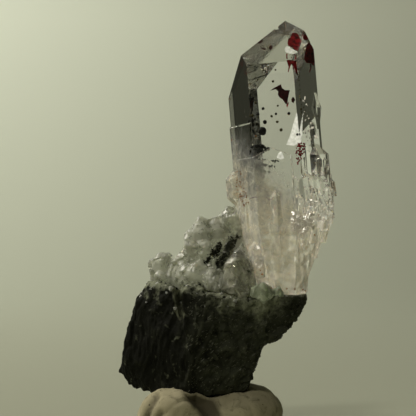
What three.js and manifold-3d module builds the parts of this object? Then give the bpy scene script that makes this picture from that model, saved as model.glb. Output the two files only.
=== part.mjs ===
// Amethyst on matrix: a clear quartz point with smaller points grown on its sides, a crust of milky
// points and the dark rock that they grew from, pressed into a lump of putty that holds it upright.
// Millimetres, +Z up, +X to the right and -Y towards the viewer of the front.
// The origin is the middle of the putty's flat underside.
import * as THREE from "three";
import { ConvexGeometry } from "three/addons/geometries/ConvexGeometry.js";
import { ImprovedNoise } from "three/addons/math/ImprovedNoise.js";
import { TessellateModifier } from "three/addons/modifiers/TessellateModifier.js";
import { mergeVertices } from "three/addons/utils/BufferGeometryUtils.js";
import Module from "manifold-3d";

const wasm = await Module();
wasm.setup();

// Driving dimensions of the whole
const GAP = 0.3; // left open between pieces that touch
const POINT_FOOT = [14.2, 0, 27]; // where the main point's axis leaves the rock
const POINT_LEAN = 4.9; // degrees that the main point leans to the left
const POINT_TWIST = -4.4; // degrees that its front face is turned to the left

// Quartz: six prism faces, and rhombohedral faces that dip 51.8 degrees at the tip
const QUARTZ_DIP = 51.8;
const SIDES = [270, 330, 30, 90, 150, 210]; // azimuths of the prism faces, from the front by the right

// Main point, in its own frame: u right, v back, w up its axis from the foot
const PRISM = [6.7, 6.6, 6.6, 6.7, 6.9, 6.9]; // axis to each prism face, in the order of SIDES
const TIP_FACES = [
  { azimuth: 270, distance: 29.0 }, // the large front face
  { azimuth: 150, distance: 26.2 }, // cuts the left shoulder low
  { azimuth: 30, distance: 30.4 },
  { azimuth: 330, distance: 32.2 }, // a small face beside the tip
];
const ROOT_TAPER = [10, 21, 23, 12, 14, 13]; // degrees that each side draws in below ROOT_TOP
const ROOT_TOP = 10.5;
const ROOT_END = -4; // the foot is cut here, inside the rock

// A growth step on the left side of the main point: the lower prism stands a little proud
const STEP_TOP = 28.6;
const STEP_PROUD = 0.22;

// Points that grew along the main point, in its frame: place, axis to side, tip and foot
const GABLE = [90, 210, 330]; // azimuths of the tip's faces where every other one is missing
const SIDE_POINTS = [
  // The broad front point, whose tip is a low gable
  { at: [-1.2, -2.0], side: 5.4, tip: 25.3, foot: -2, taper: 10, taperTop: 9.5, dip: 27, tipSides: GABLE },
  { at: [5.4, -1.3], side: 2.75, tip: 25.8, foot: 9.6, taper: 16, taperTop: 14 }, // largest on the right
  { at: [3.7, -4.6], side: 2.15, tip: 20.8, foot: 9.4, taper: 14, taperTop: 13 },
  { at: [6.5, 2.0], side: 2.1, tip: 21.4, foot: 9.8, taper: 16, taperTop: 14 },
  { at: [2.0, -5.9], side: 1.2, tip: 18.4, foot: 10.2, taper: 12, taperTop: 12.5 },
  { at: [6.4, -3.5], side: 1.45, tip: 19.3, foot: 10.4, taper: 14, taperTop: 13.5 },
  // A swelling high on the right edge
  { at: [6.6, -0.4], side: 1.25, tip: 36.4, foot: 24.4, taper: 9, taperTop: 30.4, dip: 78 },
  { at: [-7.5, 0.6], side: 1.95, tip: 21.9, foot: 13.4, taper: 38, taperTop: 16.2 }, // stout, on the left
  { at: [-4.9, -5.1], side: 1.35, tip: 9.0, foot: 2.2, taper: 12, taperTop: 4 }, // low on the left
  { at: [-2.2, 5.2], side: 2.6, tip: 19.5, foot: 7, taper: 15, taperTop: 11 }, // the rest are on the back
  { at: [2.8, 5.0], side: 2.1, tip: 16.4, foot: 6, taper: 14, taperTop: 10 },
  { at: [-5.4, 3.6], side: 1.8, tip: 14.6, foot: 5, taper: 14, taperTop: 9 },
];

// Crust of milky points on the left shoulder of the rock: tip and foot of each axis, and axis to side
const CRUST_POINTS = [
  { tip: [0.1, 1.6, 38.7], foot: [0.7, 2.4, 22], side: 3.4 }, // the largest, beside the main point
  { tip: [3.9, 2.2, 40.4], foot: [3.2, 2.8, 25], side: 2.2 },
  { tip: [-3.6, 1.8, 34.6], foot: [-2.0, 2.2, 24], side: 2.2 },
  { tip: [-5.4, 2.0, 32.0], foot: [-4.2, 2.6, 24], side: 1.8 },
  { tip: [-6.9, 2.6, 30.2], foot: [-5.8, 3.2, 23], side: 1.6 },
  { tip: [-8.5, 4.4, 31.9], foot: [-7.6, 4.6, 23], side: 1.5 }, // stands alone at the far left
  { tip: [-8.9, 1.4, 29.6], foot: [-8.0, 2.0, 24], side: 1.2 },
  { tip: [6.1, 0.4, 34.6], foot: [5.6, 1.0, 24], side: 2.2 }, // between the main point and the rest
  { tip: [0.4, -5.2, 30.4], foot: [0.8, -3.4, 23], side: 1.6 },
  { tip: [1.2, -5.8, 28.8], foot: [1.2, -4.4, 23], side: 1.1 },
  { tip: [-1.7, -2.8, 32.0], foot: [-0.8, -0.8, 24], side: 2.0 },
  { tip: [-4.2, -1.8, 30.9], foot: [-2.8, 0.4, 24], side: 1.9 },
  { tip: [2.4, 6.0, 36.6], foot: [1.6, 4.4, 24], side: 2.2 }, // the rest are on the back
  { tip: [-1.6, 6.2, 34.2], foot: [-1.0, 4.4, 24], side: 2.0 },
  { tip: [-5.2, 6.4, 31.6], foot: [-4.2, 4.8, 23], side: 1.8 },
];
const CRUST_TURN = 17; // degrees between the turns of one crust point and the next
const FRONT_POINT = { tip: [5.0, -5.9, 33.9], foot: [4.7, -6.1, 22], side: 2.15 };
const GREEN_POINT = { tip: [9.0, -9.0, 28.2], foot: [8.9, -5.6, 23.8], side: 1.85 };

// The rock broke along joints, so each lump of it is the hull of a few corners
const ROCK_LUMPS = {
  lowerRight: [
    [-4.5, -8.2, 26.6], [4.6, -9.6, 25.3], [10.6, -8.2, 25.0], [11.2, 6.5, 25.6], [0, 8.6, 27.6],
    [-4, 7.6, 27.4], [-3.4, -9.4, 17.6], [8.8, -6.4, 15.6], [8.6, 3.4, 15.6], [6.4, -5.2, 9.4],
    [5.8, 2.6, 8.9], [0, -5.6, 8.7], [-3.0, -6.4, 8.8], [-3, 5.4, 8.6],
  ],
  overhang: [
    [6, -8.8, 25.2], [13.0, -7.6, 25.6], [16.9, -3.2, 25.6], [16.8, 3.4, 25.6], [10, 7.4, 25.9],
    [2, 7.2, 26.6], [17.0, 0, 23.8], [14.8, -5.0, 21.6], [13.1, -6.0, 20.3], [11.4, 2.2, 17.8],
    [10.8, -6.2, 17.6], [3, -7.2, 15], [3, 5, 15],
  ],
  slab: [
    [-9.0, -3.2, 27.9], [-6.2, -5.6, 26.9], [-10.5, 2.0, 27.4], [-12.7, 3.6, 24.8], [-12.8, -1.8, 24.2],
    [-7.0, 8.0, 27.2], [-5.6, -7.4, 22.6], [-15.6, -0.4, 14.2], [-16.2, 2.6, 11.4], [-15.2, 5.6, 11.8],
    [-13.4, 0.2, 9.1], [-9.2, -4.4, 8.6], [-3.2, -7.8, 8.8], [-1.6, 6.4, 8.5], [-3.0, -8.8, 17.0],
    [-1.5, 8.2, 24.0], [-8.6, 9.0, 18.0],
  ],
  rib: [
    [-4.6, -7.6, 26.8], [-1.9, -8.8, 25.6], [-3.4, -4.0, 28.0], [-0.6, -4.2, 27.8], [-4.4, -9.2, 20.6],
    [-2.2, -9.8, 19.8], [-3.2, -9.3, 16.2], [-2.6, -4, 16], [-4.2, -4, 20],
  ],
  fin: [
    [3.4, -3.3, 35.7], [4.4, -3.2, 34.8], [2.8, -3.7, 31.2], [1.3, -3.8, 30.6], [2.0, -3.6, 26],
    [0.2, -3.6, 26], [3.3, -1.8, 35.4], [4.2, -1.8, 34.6], [2.2, -1.2, 26], [0.2, -1.2, 26],
  ],
};
const ROCK_EDGE = 2.3; // longest edge of the broken surface's facets
const ROCK_ROUGHNESS = [{ wave: 6.5, height: 0.55 }, { wave: 2.6, height: 0.32 }];
// Chips along the lower left edge, between two places given as x and z
const ROCK_TEETH = { from: [-14.6, 9.4], to: [-8.4, 8.2], count: 4, depth: 1.0 };

// Putty: a lump pressed flat on the table, as radius and height of its outline
const PUTTY_OUTLINE = [
  [0, 0], [11.2, 0], [12.5, 1.6], [12.8, 3.6], [12.3, 5.4], [11.0, 7.2], [8.6, 8.5], [5, 8.9], [0, 9.0],
];
// Folds that the rock squeezed up beside it: middle and half sizes of each
const PUTTY_FOLDS = [
  { middle: [-5.4, -6.0, 5.8], half: [6.6, 5.3, 4.6] },
  { middle: [5.4, -1.4, 5.6], half: [7.2, 8.8, 4.5] },
];
const PUTTY_TURNS = 30;
const PUTTY_DEPTH = 0.88; // front to back, as a share of its width
const PUTTY_ROUGHNESS = [{ wave: 8, height: 0.5 }];
const PUTTY_FLAT = 0.6; // what is lower than this lies flat on the table

// Solids

function solidOf(geometry) {
  const bare = geometry.index ? geometry.toNonIndexed() : geometry.clone();
  bare.deleteAttribute("normal");
  bare.deleteAttribute("uv");
  const merged = mergeVertices(bare, 1e-4);
  return new wasm.Manifold(
    new wasm.Mesh({
      numProp: 3,
      vertProperties: new Float32Array(merged.attributes.position.array),
      triVerts: new Uint32Array(merged.index.array),
    }),
  );
}

function geometryOf(solid) {
  const mesh = solid.getMesh();
  return new THREE.BufferGeometry()
    .setAttribute("position", new THREE.BufferAttribute(mesh.vertProperties, 3))
    .setIndex(new THREE.BufferAttribute(mesh.triVerts, 1));
}

function joined(solids) {
  return solids.reduce((whole, solid) => whole.add(solid));
}

function largestBody(solid) {
  return solid.decompose().reduce((most, body) => (body.volume() > most.volume() ? body : most));
}

function hullOf(corners) {
  return solidOf(new ConvexGeometry(corners.map((corner) => new THREE.Vector3(...corner))));
}

// Crystals

const radians = THREE.MathUtils.degToRad;

// A face's plane, from the azimuth it looks to and how far its normal is turned up from level.
function face(azimuth, rise, distance) {
  const level = Math.cos(radians(rise));
  const normal = new THREE.Vector3(
    Math.cos(radians(azimuth)) * level,
    Math.sin(radians(azimuth)) * level,
    Math.sin(radians(rise)),
  );
  return { normal, distance };
}

// The convex solid that lies behind every one of the faces.
function solidBehind(faces) {
  const corners = [];
  const matrix = new THREE.Matrix3();
  for (let i = 0; i < faces.length; i++)
    for (let j = i + 1; j < faces.length; j++)
      for (let k = j + 1; k < faces.length; k++) {
        const [a, b, c] = [faces[i], faces[j], faces[k]];
        matrix.set(...a.normal, ...b.normal, ...c.normal);
        if (Math.abs(matrix.determinant()) < 1e-6) continue;
        const distances = new THREE.Vector3(a.distance, b.distance, c.distance);
        const corner = distances.applyMatrix3(matrix.invert());
        if (faces.every((f) => f.normal.dot(corner) < f.distance + 1e-6)) corners.push(corner);
      }
  return solidOf(new ConvexGeometry(corners));
}

// A root's face: it draws in by taper degrees below taperTop, where it is side away from the axis.
function rootFace(azimuth, taper, side, taperTop) {
  const turn = radians(taper);
  return face(azimuth, -taper, side * Math.cos(turn) - taperTop * Math.sin(turn));
}

function mainPoint(grow) {
  const faces = SIDES.map((azimuth, i) => face(azimuth, 0, PRISM[i]));
  SIDES.forEach((azimuth, i) => faces.push(rootFace(azimuth, ROOT_TAPER[i], PRISM[i], ROOT_TOP)));
  TIP_FACES.forEach(({ azimuth, distance }) => faces.push(face(azimuth, 90 - QUARTZ_DIP, distance)));
  faces.push(face(0, -90, -ROOT_END));
  faces.forEach((f) => (f.distance += grow));
  return solidBehind(faces);
}

// The lower prism below the growth step, which shows only on the left.
function growthStep(grow) {
  const left = SIDES.map((azimuth) => (azimuth > 100 && azimuth < 260 ? STEP_PROUD : -STEP_PROUD));
  const faces = SIDES.map((azimuth, i) => face(azimuth, 0, PRISM[i] + left[i]));
  const dip = radians(QUARTZ_DIP);
  faces.push(face(210, 90 - QUARTZ_DIP, STEP_TOP * Math.cos(dip) + PRISM[5] * Math.sin(dip)));
  faces.push(face(0, 90, STEP_TOP));
  faces.push(face(0, -90, -ROOT_TOP));
  faces.forEach((f) => (f.distance += grow));
  return solidBehind(faces);
}

// A regular point on the w axis.
function quartzPoint({ side, tip, foot, taper, taperTop, dip = QUARTZ_DIP, tipSides = SIDES }, grow) {
  const faces = SIDES.map((azimuth) => face(azimuth, 0, side));
  const tipDistance = tip * Math.cos(radians(dip));
  tipSides.forEach((azimuth) => faces.push(face(azimuth, 90 - dip, tipDistance)));
  if (taper) SIDES.forEach((azimuth) => faces.push(rootFace(azimuth, taper, side, taperTop)));
  faces.push(face(0, -90, -foot));
  faces.forEach((f) => (f.distance += grow));
  return solidBehind(faces);
}

function amethyst(grow) {
  const grown = SIDE_POINTS.map((point) => quartzPoint(point, grow).translate([...point.at, 0]));
  return joined([mainPoint(grow), growthStep(grow), ...grown])
    .rotate([0, 0, POINT_TWIST])
    .rotate([0, -POINT_LEAN, 0])
    .translate(POINT_FOOT);
}

// A point of the crust, turned about its own axis by an amount that differs from one to the next.
function crustPoint({ tip, foot, side }, index) {
  const from = new THREE.Vector3(...foot);
  const axis = new THREE.Vector3(...tip).sub(from);
  const up = new THREE.Vector3(0, 0, 1);
  const turn = new THREE.Quaternion().setFromUnitVectors(up, axis.clone().normalize());
  const euler = new THREE.Euler().setFromQuaternion(turn, "ZYX");
  const degrees = [euler.x, euler.y, euler.z].map(THREE.MathUtils.radToDeg);
  return quartzPoint({ side, tip: axis.length(), foot: 0 }, 0)
    .rotate([0, 0, CRUST_TURN * index])
    .rotate(degrees)
    .translate(foot);
}

// Rough surfaces

const noise = new ImprovedNoise();

// Moves every corner along its normal by grow and by noise at each of the given wavelengths.
function roughened(geometry, waves, grow) {
  const merged = mergeVertices(geometry, 1e-4);
  merged.computeVertexNormals();
  const { position, normal } = merged.attributes;
  const corner = new THREE.Vector3();
  const outward = new THREE.Vector3();
  for (let i = 0; i < position.count; i++) {
    corner.fromBufferAttribute(position, i);
    outward.fromBufferAttribute(normal, i);
    const lift = waves.reduce((sum, { wave, height }) => {
      const at = corner.clone().divideScalar(wave);
      return sum + height * noise.noise(at.x, at.y, at.z);
    }, grow);
    corner.addScaledVector(outward, lift);
    position.setXYZ(i, ...corner);
  }
  return merged;
}

// Chips broken out along the rock's lower left edge.
function rockTeeth() {
  const { from, to, count, depth } = ROCK_TEETH;
  return Array.from({ length: count }, (_, i) => {
    const along = (i + 0.5) / count;
    const x = from[0] + (to[0] - from[0]) * along;
    const z = from[1] + (to[1] - from[1]) * along;
    const half = (to[0] - from[0]) / count / 2;
    const foot = z - depth;
    const wedge = (y, top) => [[x - half, y, foot], [x + half, y, foot], [x + half * 0.4, y, top]];
    return hullOf([...wedge(-12, z + depth * 0.6), ...wedge(10, z + depth)]);
  });
}

function rock(grow) {
  const lumps = joined(Object.values(ROCK_LUMPS).map(hullOf));
  const chipped = rockTeeth().reduce((whole, chip) => whole.subtract(chip), lumps);
  const facets = new TessellateModifier(ROCK_EDGE, 8).modify(geometryOf(chipped).toNonIndexed());
  return solidOf(roughened(facets, ROCK_ROUGHNESS, grow));
}

function puttyFold({ middle, half }) {
  const fold = new THREE.SphereGeometry(1, PUTTY_TURNS, PUTTY_TURNS / 2);
  fold.scale(...half).translate(...middle);
  fold.deleteAttribute("normal");
  fold.deleteAttribute("uv");
  return solidOf(roughened(fold, PUTTY_ROUGHNESS, 0));
}

function putty() {
  const outline = PUTTY_OUTLINE.map(([radius, height]) => new THREE.Vector2(radius, height));
  const lump = new THREE.LatheGeometry(outline, PUTTY_TURNS);
  lump.rotateX(Math.PI / 2).scale(1, PUTTY_DEPTH, 1);
  lump.deleteAttribute("normal");
  lump.deleteAttribute("uv");
  const kneaded = roughened(lump, PUTTY_ROUGHNESS, 0);
  const { position } = kneaded.attributes;
  for (let i = 0; i < position.count; i++) if (position.getZ(i) < PUTTY_FLAT) position.setZ(i, 0);
  return joined([solidOf(kneaded), ...PUTTY_FOLDS.map(puttyFold)]);
}

// Assembly

const nearRock = rock(GAP);
const nearAmethyst = amethyst(GAP);
const clearOf = (solid) => largestBody(solid.subtract(nearRock).subtract(nearAmethyst));

function piece(name, solid, look) {
  const mesh = new THREE.Mesh(geometryOf(solid), new THREE.MeshStandardMaterial({ metalness: 0, ...look }));
  mesh.name = name;
  return mesh;
}

const crust = clearOf(joined(CRUST_POINTS.map(crustPoint)));
const frontPoint = clearOf(crustPoint(FRONT_POINT, 1));
const greenPoint = clearOf(crustPoint(GREEN_POINT, 2));

const specimen = new THREE.Group();
specimen.add(
  piece("matrix", rock(0), { color: 0x2a2c24, roughness: 0.85 }),
  piece("amethyst_crystal", largestBody(amethyst(0).subtract(nearRock)), {
    color: 0xcfc4c6,
    roughness: 0.05,
    transparent: true,
    opacity: 0.55,
  }),
  piece("quartz_crust", crust, { color: 0xb9bcae, roughness: 0.25 }),
  piece("front_point", frontPoint, { color: 0xc4c0b4, roughness: 0.15 }),
  piece("green_point", greenPoint, { color: 0x9aa58f, roughness: 0.3 }),
  piece("putty", largestBody(putty().subtract(nearRock)), { color: 0xa39c82, roughness: 0.9 }),
);

export default specimen;
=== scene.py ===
# Amethyst on matrix: a clear quartz point with faint amethyst colour on dark rock, held in putty.
# Metres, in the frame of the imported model: +Z up, and the front looks towards -Y.
import math
import random

import bpy
import numpy as np
from mathutils import Matrix, Vector, noise


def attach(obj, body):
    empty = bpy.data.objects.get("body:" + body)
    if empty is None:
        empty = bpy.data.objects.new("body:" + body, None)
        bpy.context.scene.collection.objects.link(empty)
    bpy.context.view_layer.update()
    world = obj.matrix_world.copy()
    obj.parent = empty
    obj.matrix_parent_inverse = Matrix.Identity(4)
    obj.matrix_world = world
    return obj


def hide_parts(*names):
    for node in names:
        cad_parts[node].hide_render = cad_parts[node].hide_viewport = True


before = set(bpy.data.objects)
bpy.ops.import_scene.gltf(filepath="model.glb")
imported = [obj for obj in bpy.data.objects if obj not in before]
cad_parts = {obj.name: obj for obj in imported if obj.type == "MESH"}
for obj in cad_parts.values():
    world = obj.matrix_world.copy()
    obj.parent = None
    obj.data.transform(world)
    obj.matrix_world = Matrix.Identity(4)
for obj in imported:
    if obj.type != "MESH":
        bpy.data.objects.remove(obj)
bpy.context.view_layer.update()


# Putty
# A lump of pale mounting putty, kneaded by hand and pressed flat on the table. The rock is pushed
# into it, and folds of it stand up on both sides. It is matte, creased and a little dusty.

MM = 0.001
MERGE_REACH = 0.002 * MM  # corners of a node nearer than this are one corner
PUTTY_GRAIN = 0.4 * MM  # spacing of the mesh
PUTTY_FLAT = 0.7 * MM  # what is lower than this stays flat on the table
PUTTY_CREASE_DEPTH = 0.16 * MM
PUTTY_CREASE_WIDTH = 0.07  # share of the noise on each side of a crease
PUTTY_CREASE_SPACING = 6.5 * MM
PUTTY_DENT_SPACING = 2.2 * MM
PUTTY_DENT_DEPTH = 0.16 * MM
# Folds of the front as x and z in millimetres, each with its half width and depth
PUTTY_VALLEY = ([(-2.2, 9.8), (-0.6, 8.0), (0.8, 5.4)], 2.4, 1.5)
PUTTY_FOLD = ([(-8.8, 9.0), (-9.9, 7.4), (-10.8, 5.2), (-11.0, 3.2)], 0.9, 0.5)
PUTTY_TUCK = ([(-8.0, 6.6), (-9.0, 4.6), (-8.8, 3.0)], 0.9, 0.3)


def pick(piece):
    """Selects one piece alone and makes it active."""
    bpy.ops.object.select_all(action="DESELECT")
    piece.select_set(True)
    bpy.context.view_layer.objects.active = piece


def add_piece(piece_name, mesh):
    """A new object with that mesh, selected and active."""
    piece = bpy.data.objects.new(piece_name, mesh)
    bpy.context.scene.collection.objects.link(piece)
    pick(piece)
    return piece


def copy_of_node(node_name, piece_name):
    """A piece with a copy of a node's mesh, its corners merged."""
    piece = add_piece(piece_name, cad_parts[node_name].data.copy())
    piece.data.materials.clear()
    bpy.ops.object.mode_set(mode="EDIT")
    bpy.ops.mesh.select_all(action="SELECT")
    bpy.ops.mesh.remove_doubles(threshold=MERGE_REACH)
    bpy.ops.object.mode_set(mode="OBJECT")
    return piece


def apply_modifier(piece, kind, **settings):
    """Adds a modifier to a piece, sets it and applies it."""
    bpy.context.view_layer.objects.active = piece
    modifier = piece.modifiers.new(kind.lower(), kind)
    for name, value in settings.items():
        setattr(modifier, name, value)
    bpy.ops.object.modifier_apply(modifier=modifier.name)


def paint(piece, name, shares):
    """Keeps one number for each corner as an attribute that a material can read."""
    attribute = piece.data.attributes.new(name, "FLOAT", "POINT")
    attribute.data.foreach_set("value", shares)


def raise_surface(piece, height):
    """Moves every corner along its normal by height(place, normal), and keeps it as relief in mm."""
    moves = [(v.normal.copy(), height(v.co, v.normal)) for v in piece.data.vertices]
    for vertex, (normal, lift) in zip(piece.data.vertices, moves):
        vertex.co += normal * lift
    piece.data.update()
    paint(piece, "relief", [lift / MM for normal, lift in moves])


def shade_faces(piece, degrees):
    """Smooth shading that keeps every edge sharper than that."""
    pick(piece)
    bpy.ops.object.shade_smooth_by_angle(angle=math.radians(degrees))


def groove(place, path, half_width):
    """1 on a path of x and z in millimetres, falling to 0 at half_width beside it."""
    nearest = half_width
    at = Vector((place.x / MM, place.z / MM))
    for start, end in zip(path, path[1:]):
        foot = Vector(start)
        along = Vector(end) - foot
        share = min(1.0, max(0.0, (at - foot).dot(along) / along.length_squared))
        nearest = min(nearest, (at - foot - along * share).length)
    rise = 1 - nearest / half_width
    return rise * rise * (3 - 2 * rise)


def facing_front(normal):
    """1 where a surface faces the front, 0 where it faces the sides or the back."""
    return min(1.0, max(0.0, 0.5 - 1.6 * normal.y))


def linear(hex_colour):
    """A linear RGBA colour from an sRGB hex value."""
    shares = [int(hex_colour[i:i + 2], 16) / 255 for i in (1, 3, 5)]
    return [s / 12.92 if s <= 0.04045 else ((s + 0.055) / 1.055) ** 2.4 for s in shares] + [1.0]


def feed(tree, node, inputs):
    """Fills inputs of a node. Each is a value, an output, or a node whose first output feeds it."""
    for name, value in inputs.items():
        if isinstance(value, bpy.types.Node):
            value = next(output for output in value.outputs if output.enabled)
        if isinstance(value, bpy.types.NodeSocket):
            tree.links.new(value, node.inputs[name])
        else:
            node.inputs[name].default_value = value


def add_node(tree, kind, inputs=None, **settings):
    """Adds a shader node with its settings and inputs."""
    node = tree.nodes.new("ShaderNode" + kind)
    for name, value in settings.items():
        setattr(node, name, value)
    feed(tree, node, inputs or {})
    return node


def stained(tree, below, mask, low, high, first, last, stain):
    """Lays a colour over another, by shares from first to last while a mask goes from low to high."""
    share = add_node(tree, "MapRange", {
        "Value": mask, "From Min": low, "From Max": high, "To Min": first, "To Max": last,
    })
    return add_node(tree, "Mix", {0: share, 6: below, 7: linear(stain)}, data_type="RGBA")


def new_material(name):
    """A material of that name, its node tree and its shader."""
    material = bpy.data.materials.new(name)
    material.use_nodes = True
    return material, material.node_tree, material.node_tree.nodes["Principled BSDF"]


def per_metre(millimetres):
    """A noise scale that gives features of that size."""
    return 1 / (millimetres * MM)


def putty_relief(place, normal):
    if place.z < PUTTY_FLAT:
        return 0.0
    crumple = noise.noise(place / PUTTY_CREASE_SPACING + Vector((3.1, 0.0, 7.7)))
    crease = max(0.0, 1 - abs(crumple) / PUTTY_CREASE_WIDTH)
    dent = noise.noise(place / PUTTY_DENT_SPACING) + 0.5 * noise.noise(place / PUTTY_DENT_SPACING * 2.7)
    lift = PUTTY_DENT_DEPTH * dent - PUTTY_CREASE_DEPTH * crease
    for path, half_width, depth in (PUTTY_VALLEY, PUTTY_FOLD, PUTTY_TUCK):
        lift -= depth * MM * groove(place, path, half_width) * facing_front(normal)
    return lift


putty = copy_of_node("putty", "putty_lump")
apply_modifier(putty, "REMESH", mode="VOXEL", voxel_size=PUTTY_GRAIN)
apply_modifier(putty, "SMOOTH", factor=0.5, iterations=10)
raise_surface(putty, putty_relief)
apply_modifier(putty, "SMOOTH", factor=0.4, iterations=1)
bpy.ops.object.shade_smooth()

# Mounting putty: a filled, oily clay, so it is matte with a soft beige mottle and dark dust specks, and its
# creases and hollows are painted darker as painted shade.
putty_material, tree, shader = new_material("kneaded mounting putty")
place = add_node(tree, "TexCoord").outputs["Object"]
relief = add_node(tree, "Attribute", attribute_name="relief")
mottle = add_node(tree, "TexNoise", {"Vector": place, "Scale": per_metre(4), "Detail": 6.0})
grit = add_node(tree, "TexNoise", {"Vector": place, "Scale": per_metre(0.45), "Detail": 4.0})
specks = add_node(tree, "TexVoronoi", {"Vector": place, "Scale": per_metre(1.7)})
clay = add_node(tree, "Mix", {0: mottle, 6: linear("#a89f80"), 7: linear("#cdc5a6")}, data_type="RGBA")
# Painted shade: the creases and hollows, the valley under the rock most of all, are darkened towards
# #4d4735.
painted_hollow_shade = stained(tree, clay, relief.outputs["Fac"], -0.7, -0.05, 0.9, 0.0, "#4d4735")
smears = add_node(tree, "TexNoise", {
    "Vector": place, "Scale": per_metre(2.2), "Detail": 8.0, "Roughness": 0.75, "Distortion": 0.8,
})
smeared = stained(tree, painted_hollow_shade, smears, 0.52, 0.7, 0.0, 0.75, "#575340")
dusty = stained(tree, smeared, specks, 0.06, 0.11, 0.8, 0.0, "#2c291f")
bump = add_node(tree, "Bump", {"Height": grit, "Strength": 0.45, "Distance": 0.15 * MM})
feed(tree, shader, {"Base Color": dusty, "Normal": bump, "Roughness": 0.85, "Specular IOR Level": 0.3})
putty.data.materials.append(putty_material)
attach(putty, "root")
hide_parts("putty")


# Matrix
# The rock that the crystals grew from: a dark greenish schist, broken off the wall of a cleft. Its left
# side split along fibres, and its right side broke across the grain and glitters with mica.

ROCK_GRAIN = 0.26 * MM
ROCK_SEED = 11  # fixes the vector noise that bends fibres and tilts facets, here and on the crystals
SPLIT_X = -1.6 * MM  # the fibrous side lies to the left of this
FIBRE_LEAN = Vector((0.20, 0.0, 1.0)).normalized()
FIBRE_WIDTH = 0.8 * MM
FIBRE_LENGTH = 8 * MM
FOLIATION = Vector((-0.62, 0.25, 0.74)).normalized()  # square to the layers of the right side
# Thin ribs on the front and the quartz vein beside them, as x and z in millimetres
ROCK_RIBS = [[(-0.3, 24.5), (-2.1, 17.8), (-3.7, 11.9)], [(0.8, 20.4), (-1.2, 16.6), (-3.0, 13.4)]]
ROCK_VEIN = [(-5.9, 28.6), (-5.6, 26.6), (-5.3, 24.4), (-5.0, 22.8)]
DUST_REACH = 4.5  # how far pale quartz dust covers the rock round the crystals, in millimetres
DUST_EDGE = [(-10.2, 27.4), (-7.4, 28.6), (-2.0, 28.0), (2.4, 26.6)]  # and along the front of the shoulder


def faceted(place, size, tilt):
    """Height of flat facets of about that size, each tilted its own way, as on broken stone."""
    cell = noise.voronoi(place / size)[1][0]
    lean = noise.noise_vector(cell * 5.7)
    return tilt * size * lean.dot(place / size - cell)


def rock_relief(place, normal):
    warped = place + noise.noise_vector(place / (6.0 * MM)) * (1.9 * MM)
    along = warped.dot(FIBRE_LEAN)
    fibre_place = (warped - FIBRE_LEAN * along) / FIBRE_WIDTH + FIBRE_LEAN * (along / FIBRE_LENGTH)
    splits = 0.24 * noise.noise(fibre_place) - 0.22 * abs(noise.noise(fibre_place * 0.6))
    fibres = splits + 0.16 * noise.noise(fibre_place * 2.6)
    lumps = noise.fractal(place / (3.4 * MM), 0.8, 2.1, 5)
    across = place.dot(FOLIATION)
    layer_place = (place - FOLIATION * across) / (3.0 * MM) + FOLIATION * (across / (0.55 * MM))
    layers = 0.24 * noise.noise(layer_place)
    crumbs = (faceted(place, 1.5 * MM, 0.6) + faceted(place, 0.6 * MM, 0.4)) / MM
    wander = 2.5 * MM * noise.noise(place / (3.0 * MM))
    left = 1 / (1 + math.exp((place.x - SPLIT_X + wander) / (0.9 * MM)))
    fibrous = fibres + 0.14 * lumps
    granular = 0.26 * lumps + layers + crumbs
    ribs = max(groove(place, path, 0.5) for path in ROCK_RIBS)
    return MM * (left * fibrous + (1 - left) * granular + 0.22 * ribs * facing_front(normal))


def dust_on(place):
    """1 on rock that touches a milky crystal, falling raggedly to 0 away from it."""
    nearest = min((n.closest_point_on_mesh(place)[1] - place).length for n in crystal_nodes)
    ragged = 1.6 * noise.noise(place / (1.3 * MM)) + noise.noise(place / (0.5 * MM))
    edge = groove(place + noise.noise_vector(place / (2.0 * MM)) * (1.5 * MM), DUST_EDGE, 2.6)
    return min(1.0, max(0.0, 1 - (nearest / MM + ragged) / DUST_REACH, edge - 0.3 * ragged))


noise.seed_set(ROCK_SEED)
matrix = copy_of_node("matrix", "matrix_rock")
apply_modifier(matrix, "REMESH", mode="VOXEL", voxel_size=ROCK_GRAIN)
apply_modifier(matrix, "SMOOTH", factor=0.4, iterations=2)
paint(
    matrix,
    "vein",
    [
        groove(v.co + noise.noise_vector(v.co / (1.0 * MM)) * (0.8 * MM), ROCK_VEIN, 1.3)
        * facing_front(v.normal)
        for v in matrix.data.vertices
    ],
)
crystal_nodes = [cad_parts[name] for name in ("quartz_crust", "front_point", "green_point")]
paint(matrix, "dust", [dust_on(v.co) for v in matrix.data.vertices])
raise_surface(matrix, rock_relief)
shade_faces(matrix, 40)

# Chlorite schist: nearly black, greenish, rough, with small bright grains, and raised ridges painted paler
# as a painted highlight.
rock_material, tree, shader = new_material("dark chlorite schist")
place = add_node(tree, "TexCoord").outputs["Object"]
relief = add_node(tree, "Attribute", attribute_name="relief")
vein = add_node(tree, "Attribute", attribute_name="vein")
grain = add_node(tree, "TexNoise", {
    "Vector": place, "Scale": per_metre(0.4), "Detail": 4.0, "Roughness": 0.7,
})
patches = add_node(tree, "TexNoise", {
    "Vector": place, "Scale": per_metre(3), "Detail": 6.0, "Roughness": 0.65,
})
axes = add_node(tree, "SeparateXYZ", {"Vector": place})
border = add_node(tree, "Math", {0: patches, 1: 12 * MM, 2: axes.outputs["X"]}, operation="MULTIPLY_ADD")
across = add_node(tree, "MapRange", {
    "Value": border, "From Min": SPLIT_X + 2 * MM, "From Max": SPLIT_X + 10 * MM,
})
fibrous = add_node(tree, "Mix", {
    0: patches, 6: linear("#090a05"), 7: linear("#191a12"),
}, data_type="RGBA")
broken = add_node(tree, "Mix", {0: patches, 6: linear("#191a11"), 7: linear("#4b4e41")}, data_type="RGBA")
body = add_node(tree, "Mix", {0: across, 6: fibrous, 7: broken}, data_type="RGBA")
# Painted highlight: raised relief is lightened towards #525443.
painted_ridge_highlight = stained(tree, body, relief.outputs["Fac"], 0.02, 0.45, 0.0, 0.5, "#525443")
fleck = add_node(tree, "MapRange", {
    "Value": grain, "From Min": 0.58, "From Max": 0.72, "To Min": 0.0, "To Max": 0.6,
})
fleck_share = add_node(tree, "Math", {0: fleck, 1: across}, operation="MULTIPLY")
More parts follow.
